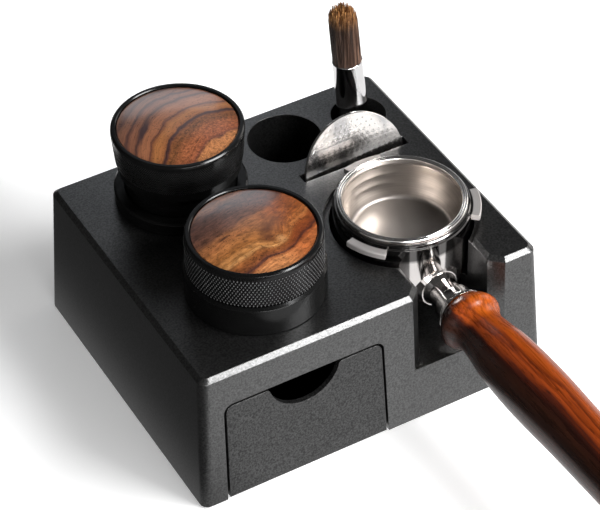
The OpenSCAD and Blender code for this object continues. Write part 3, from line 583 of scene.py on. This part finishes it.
def knurlBand(name, s, material):
    p = Pattern(name + "Pattern")
    count, rows = p.numbers(s, "count", "rows")
    lowRadius, highRadius, low, high, depth = p.sizes(s, "lowRadius", "highRadius", "low", "high", "depth")
    row, column = p.rowAndColumn(count)
    shift = p.times(p.math("MODULO", row, 2.0), 0.5)
    angle = p.times(p.over(p.plus(column, shift), count), math.tau)
    part = p.over(p.plus(row, 1.0), p.plus(rows, 1.0))
    radius = p.plus(lowRadius, p.times(p.minus(highRadius, lowRadius), part))
    height = p.plus(low, p.times(p.minus(high, low), part))
    placed = p.points(p.times(count, rows), p.polar(radius, angle, height))
    half = p.over(p.times(lowRadius, math.pi), count)
    tall = p.over(p.minus(high, low), p.plus(rows, 1.0))
    size = p.vector(p.over(tall, half), 1.0, 1.0)
    turn = p.vector(0.0, math.pi / 2, angle)
    piece = p.build(name, p.copies(placed, p.cone(4, half, 0.0, depth), Rotation=turn, Scale=size), material)
    piece.data.transform(shiftBy(*s["centre"], 0))
    return piece


frontTips = makeAnodised("anodisedFrontKnurl", 0.009, 0.22, 0.05, frontKnurl)
frontKnurlPiece = knurlBand("frontKnurl", frontKnurl, frontTips)
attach(frontKnurlPiece, "distributor")
backTips = makeAnodised("anodisedBackKnurl", 0.007, 0.28, 0.05, backKnurl)
backKnurlPiece = knurlBand("backKnurl", backKnurl, backTips)
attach(backKnurlPiece, "tamper_head")
print("knurls done")


# Brush: hairs set in a spiral, bent a little by noise and clumped towards their tips.

brush = {
    "x": 63.2, "y": 52.1, "leanSide": 3.8, "leanBack": 2.6, "count": 900, "radius": 6.1, "seed": 7,
    "low": 21.0, "length": 38.7, "hair": 0.19, "tip": 0.45,
    "shortest": 0.9, "rimDrop": 0.13, "rimCurve": 2.4, "flare": 0.1, "flareFrom": (0.17, 0.25),
    "drift": 3.2, "clumps": (420.0, 420.0, 25.0), "goldenAngle": 2.39996,
    # Painted shade across the tuft: its span, and its darkest and lightest factors
    "tipFrom": (121.5, 131.0), "across": (-10.5, -1.0), "light": (0.3, 1.15),
    "rootColours": [(0.36, (0.015, 0.008, 0.006)), (0.5, (0.065, 0.034, 0.023)), (0.66, (0.2, 0.12, 0.085))],
    "tipColours": [(0.38, (0.04, 0.014, 0.006)), (0.5, (0.3, 0.12, 0.035)), (0.64, (0.68, 0.36, 0.13))],
}


def makeHair(name, s):
    # Dark roots, painted shade on the left that lightens to the right, and ginger tips
    g = Graph(name)
    x, y, z = g.parts(g.coords())
    streak = g.noise(g.coords((1, 1, 0.03)), 1.3, 3, 0.6)
    # Painted shade: the hairs darken towards the left side of the tuft
    side = g.mapped(x, [s["x"] + d for d in s["across"]], s["light"])
    root = g.shade(g.ramp(streak, s["rootColours"]), side)
    colour = g.mix(g.mapped(z, s["tipFrom"]), root, g.ramp(streak, s["tipColours"]))
    return g.finish(Base_Color=colour, Roughness=0.42, Specular_IOR_Level=0.3)


def buildHairs(name, s, material):
    p = Pattern(name + "Pattern")
    count, seed = p.numbers(s, "count", "seed")
    radius, low, length, hair = p.sizes(s, "radius", "low", "length", "hair")
    index = p.index()
    part = p.over(p.plus(index, 0.5), count)
    away = p.times(p.math("SQRT", part), radius)
    placed = p.points(count, p.polar(away, p.times(index, s["goldenAngle"]), low))
    strand = p.cone(5, hair, p.times(hair, s["tip"]), length, segments=7, fill="NGON")
    # Hairs at the rim are shorter, which rounds the tip
    rimDrop = p.times(p.math("POWER", part, s["rimCurve"]), s["rimDrop"])
    limits = {2: s["shortest"], 3: 1.0, "Seed": seed}
    vary = p.add("FunctionNodeRandomValue", limits, data_type="FLOAT").outputs[1]
    size = p.vector(1.0, 1.0, p.times(vary, p.minus(1.0, rimDrop)))
    solid = p.realized(p.copies(placed, strand, Scale=size))
    position = p.position()
    rise = p.over(p.minus(p.parts(position)[2], low), length)
    bend = p.math("POWER", p.math("MAXIMUM", rise, 0.0), 2.0)
    where = p.vectorMath("MULTIPLY", position, s["clumps"])
    drift = p.add("ShaderNodeTexNoise", {"Vector": where, "Scale": 1.0, "Detail": 1.0}).outputs["Color"]
    offset = p.vectorMath("SUBTRACT", drift, (0.5, 0.5, 0.5))
    offset = p.vectorMath("MULTIPLY", offset, (s["drift"] * mm, s["drift"] * mm, 0.0))
    offset = p.vectorMath("MULTIPLY", offset, p.vector(bend, bend, bend))
    # The tuft widens just above the ferrule
    wide = p.mapped(rise, s["flareFrom"], (0.0, s["flare"]))
    offset = p.vectorMath("ADD", offset, p.vectorMath("MULTIPLY", position, p.vector(wide, wide, 0.0)))
    bent = p.add("GeometryNodeSetPosition", {"Geometry": solid, "Offset": offset})
    piece = p.build(name, bent, material)
    lean = turnAbout("Y", -s["leanSide"]) @ turnAbout("X", -s["leanBack"])
    piece.data.transform(shiftBy(s["x"], s["y"], caseTop) @ lean)
    return piece


hairs = buildHairs("brushHairs", brush, makeHair("brushHair", brush))
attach(hairs, "station")
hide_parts("brush_bristles")
print("brush done")


# Puck screen: a plate of six-sided tiles with a round bore each, closed tiles along its border.

screenPlate = {
    "x": 45.3, "y": 20.4, "lean": 20.5, "turn": 2.5, "sink": 31.35,
    "radius": 26.65, "thick": 1.7, "bevel": 0.3, "sliver": 0.001,
    "field": 25.2, "rows": 23, "pitch": 2.9, "hole": 0.32, "closedHole": 0.01, "burr": 0.03,
}
screenFace = {
    "rough": 0.2, "flatFrom": 84.5, "hollow": 0.014,
    "colours": [(0.38, (0.62, 0.61, 0.61)), (0.5, (0.82, 0.79, 0.77)), (0.6, (0.97, 0.93, 0.9))],
}

# For hexagons that are 1 wide: the step from row to row, and the distance from centre to corner
rowStep = math.sqrt(3) / 2
cornerRadius = 1 / math.sqrt(3)


def screenPlace(s):
    top = shiftBy(s["x"], s["y"], caseTop) @ turnAbout("X", -s["lean"])
    return top @ shiftBy(0, 0, s["radius"] - s["sink"]) @ turnAbout("Z", s["turn"]) @ turnAbout("X", 90)


def buildScreen(name, s, material):
    p = Pattern(name + "Pattern")
    rows, = p.numbers(s, "rows")
    pitch, hole, field, thick, burr = p.sizes(s, "pitch", "hole", "field", "thick", "burr")
    half = p.times(thick, 0.5)
    row, column = p.rowAndColumn(rows)
    middle = p.times(p.minus(rows, 1.0), 0.5)
    shift = p.minus(p.times(p.math("MODULO", row, 2.0), 0.5), 0.25)
    across = p.times(p.plus(p.minus(column, middle), shift), pitch)
    upward = p.times(p.minus(row, middle), p.times(pitch, rowStep))
    placed = p.points(p.times(rows, rows), p.vector(across, upward, 0.0))
    away = p.vectorMath("LENGTH", p.position())

    def compare(operation, limit):
        inputs = {0: away, 1: limit}
        return p.add("FunctionNodeCompare", inputs, data_type="FLOAT", operation=operation).outputs[0]

    outside = compare("GREATER_THAN", p.plus(field, p.times(pitch, 0.6)))
    kept = p.add("GeometryNodeDeleteGeometry", {"Geometry": placed, "Selection": outside}, domain="POINT")
    bored = compare("LESS_THAN", p.minus(field, p.times(hole, 1.5)))
    closed = p.add("FunctionNodeBooleanMath", {0: bored}, operation="NOT").outputs[0]

    def tile(inner):
        # Twelve-sided ring whose outer corners are drawn in to a hexagon
        ring = p.cone(12, p.times(pitch, cornerRadius), inner, burr)
        spot = p.position()
        low = p.math("LESS_THAN", p.parts(spot)[2], p.times(burr, 0.5))
        even = p.minus(1.0, p.math("MODULO", p.index(), 2.0))
        size = p.minus(1.0, p.times(low, even, 1 - rowStep))
        return p.place(ring, p.vectorMath("MULTIPLY", spot, p.vector(size, size, 1.0)))

    face = p.copies(kept, tile(hole), Selection=bored)
    border = p.copies(kept, tile(s["closedHole"] * mm), Selection=closed)
    both = p.join(face, border)
    level = p.minus(half, burr)
    front = p.moved(both, p.vector(z=level))
    back = p.moved(both, p.vector(z=p.times(level, -1.0)), (math.pi, 0, 0))
    bore = p.add("GeometryNodeFlipFaces", {0: p.cone(12, hole, hole, thick)})
    bore = p.moved(bore, p.vector(z=p.times(half, -1.0)))
    solid = p.realized(p.join(front, back, p.copies(kept, bore, Selection=bored)))
    # Corners beyond the field are pulled back to its circle
    x, y, z = p.parts(p.position())
    reach = p.vectorMath("LENGTH", p.vector(x, y))
    pull = p.math("MINIMUM", 1.0, p.over(field, p.math("MAXIMUM", reach, mm)))
    trimmed = p.place(solid, p.vector(p.times(x, pull), p.times(y, pull), z))
    # Border, bevel, rim, bevel and border: radius above, radius below, lower end, height
    r, t, c, f, sliver = s["radius"], s["thick"] / 2, s["bevel"], s["field"], s["sliver"]
    hoops = [
        p.moved(p.cone(144, bottom * mm, top * mm, tall * mm), (0, 0, low * mm))
        for top, bottom, low, tall in (
            (f, r - c, t - sliver, sliver), (r - c, r, t - c, c), (r, r, c - t, 2 * (t - c)),
            (r, r - c, -t, c), (r - c, f, -t, sliver),
        )
    ]
    piece = p.build(name, p.join(trimmed, *hoops), material)
    piece.data.transform(screenPlace(s))
    return piece


def makeScreenSteel(name, s):
    # Pressed sheet: the face is a little hollow, and light and dark in patches
    g = Graph(name)
    patch = g.noise(g.coords((1.0, 1.0, 0.5), (0, 35, 0)), 0.1, 2, 0.45)
    value = g.around(s["rough"], g.noise(g.coords(), 0.9, 3, 0.6), 0.08)
    below = g.math("MAXIMUM", g.minus(s["flatFrom"], g.parts(g.coords())[2]), 0.0)
    normal = g.bump(g.times(below, below, -0.5 * s["hollow"]), 1.0, 1.0)
    return g.finish(Base_Color=g.ramp(patch, s["colours"]), Metallic=1.0, Roughness=value, Normal=normal)


screenSteel = makeScreenSteel("steelScreen", screenFace)
paint(screenSteel, "puck_screen")
screen = buildScreen("puckScreen", screenPlate, screenSteel)
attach(screen, "station")
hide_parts("puck_screen")
print("screen done")


# Stage: pale floor, a dim room with a white backdrop in front, soft lights and the camera.

stageLevels = {
    # Glow across the floor is painted light: it hides the handle's shadow on the right
    "glow": [(-150, 0.4), (-104, 0.25), (-88, 0.25), (-45, 0.5)],
    # The table seen in mirrors dims to the left: painted shade
    "fade": (-105.0, -50.0), "floor": (0.055, 1.0),
    "world": 0.05, "front": 0.95, "ahead": (0.1, -0.45), "lowered": (0.42, 0.12),
}


def makeFloor(name, s):
    g = Graph(name)
    path = g.add("ShaderNodeLightPath").outputs
    x = g.parts(g.coords())[0]
    colour = g.ramp(g.noise(g.coords(), 0.02), [(0.3, 0.92), (0.7, 0.94)])
    diffuse = g.add("ShaderNodeBsdfDiffuse", {"Color": colour})
    # The camera sees some glow, painted light that varies across the floor: least at the left of the case,
    # where the shadow lies, more further left so that the shadow fades quickly, and most to the right, where
    # it hides the shadow of the handle
    level = g.times(path["Is Camera Ray"], g.bands(x, s["glow"], "EASE"))
    glow = g.add("ShaderNodeEmission", {"Color": grey(1.0), "Strength": level})
    seen = g.add("ShaderNodeAddShader", {0: diffuse, 1: glow})
    # Mirrors see a white table, a glow that dims to the left as painted shade
    dull = g.add("ShaderNodeEmission", {"Color": grey(1.0), "Strength": g.mapped(x, s["fade"], s["floor"])})
    mirror = g.math("MAXIMUM", path["Is Glossy Ray"], path["Is Transmission Ray"])
    g.add("ShaderNodeOutputMaterial", {0: g.add("ShaderNodeMixShader", {0: mirror, 1: seen, 2: dull})})
    return g.material


def makeWorld(name, s):
    # Mirrors see a white backdrop low in front, and the dim room elsewhere
    world = bpy.data.worlds.new(name)
    world.use_nodes = True
    g = Tree(world.node_tree)
    x, y, z = g.parts(g.add("ShaderNodeTexCoord").outputs["Generated"])
    mirrored = g.add("ShaderNodeLightPath").outputs["Is Glossy Ray"]
    lit = g.times(g.mapped(y, s["ahead"]), g.mapped(z, s["lowered"]), mirrored, s["front"] - s["world"])
    back = g.add("ShaderNodeBackground", {0: (1.0, 0.985, 0.97, 1), 1: g.plus(lit, s["world"])})
    g.add("ShaderNodeOutputWorld", {0: back})
    return world


floorMesh = bpy.data.meshes.new("floor")
grid = bmesh.new()
bmesh.ops.create_grid(grid, x_segments=1, y_segments=1, size=4.0)
grid.to_mesh(floorMesh)
grid.free()
floor = bpy.data.objects.new("floor", floorMesh)
scene.collection.objects.link(floor)
floorMesh.materials.append(makeFloor("floorPaper", stageLevels))
scene.world = makeWorld("studio", stageLevels)


def outward(azimuth, elevation):
    # Azimuth from the front towards the right
    a, e = math.radians(azimuth), math.radians(elevation)
    return Vector((math.sin(a) * math.cos(e), -math.cos(a) * math.cos(e), math.sin(e)))


def softLight(name, direction, distance, size, power, colour=(1, 1, 1), target=(0, 0, 0.06)):
    light = bpy.data.lights.new(name, "AREA")
    light.shape = "RECTANGLE"
    light.size, light.size_y = size
    light.energy = power
    light.color = colour
    lamp = bpy.data.objects.new(name, light)
    scene.collection.objects.link(lamp)
    direction = Vector(direction).normalized()
    lamp.location = Vector(target) + direction * distance
    lamp.rotation_euler = direction.to_track_quat("Z", "Y").to_euler()


cool, warm = (0.9, 0.94, 1.0), (1, 0.96, 0.92)
softLight("key", outward(40, 44), 1.5, (0.75, 0.36), 27)
softLight("front", outward(-4, 10), 1.6, (1.2, 0.5), 33)
softLight("back", outward(158, 22), 0.5, (0.24, 0.15), 0.17, cool, (-0.033, 0.02, 0.112))
softLight("rear", (0.143, 0.259, 0.269), 0.4, (0.14, 0.1), 0.021, cool, (-0.03, -0.01, 0.072))
softLight("right", outward(100, 20), 1.5, (0.5, 0.8), 3, warm)

cameraFit = {
    "azimuth": -28.837, "elevation": 42.263, "roll": -1.285, "target": (29.42, 44.73, 1.0),
    "distance": 1202.3, "lens": 149.844, "sensor": 36, "clip": (0.05, 20),
}


def makeCamera(s):
    az, roll = math.radians(s["azimuth"]), math.radians(s["roll"])
    back = outward(s["azimuth"], s["elevation"])
    right = Vector((math.cos(az), math.sin(az), 0))
    up = back.cross(right)
    side = right * math.cos(roll) + up * math.sin(roll)
    top = up * math.cos(roll) - right * math.sin(roll)
    data = bpy.data.cameras.new("camera")
    data.lens = s["lens"]
    data.sensor_width = s["sensor"]
    data.clip_start, data.clip_end = s["clip"]
    camera = bpy.data.objects.new("camera", data)
    scene.collection.objects.link(camera)
    place = (Vector(s["target"]) + back * s["distance"]) * mm
    rows = [list(row) for row in zip(side, top, back)]
    camera.matrix_world = Matrix.Translation(place) @ Matrix(rows).to_4x4()
    scene.camera = camera


makeCamera(cameraFit)
scene.view_settings.view_transform = "Standard"
print("stage done")
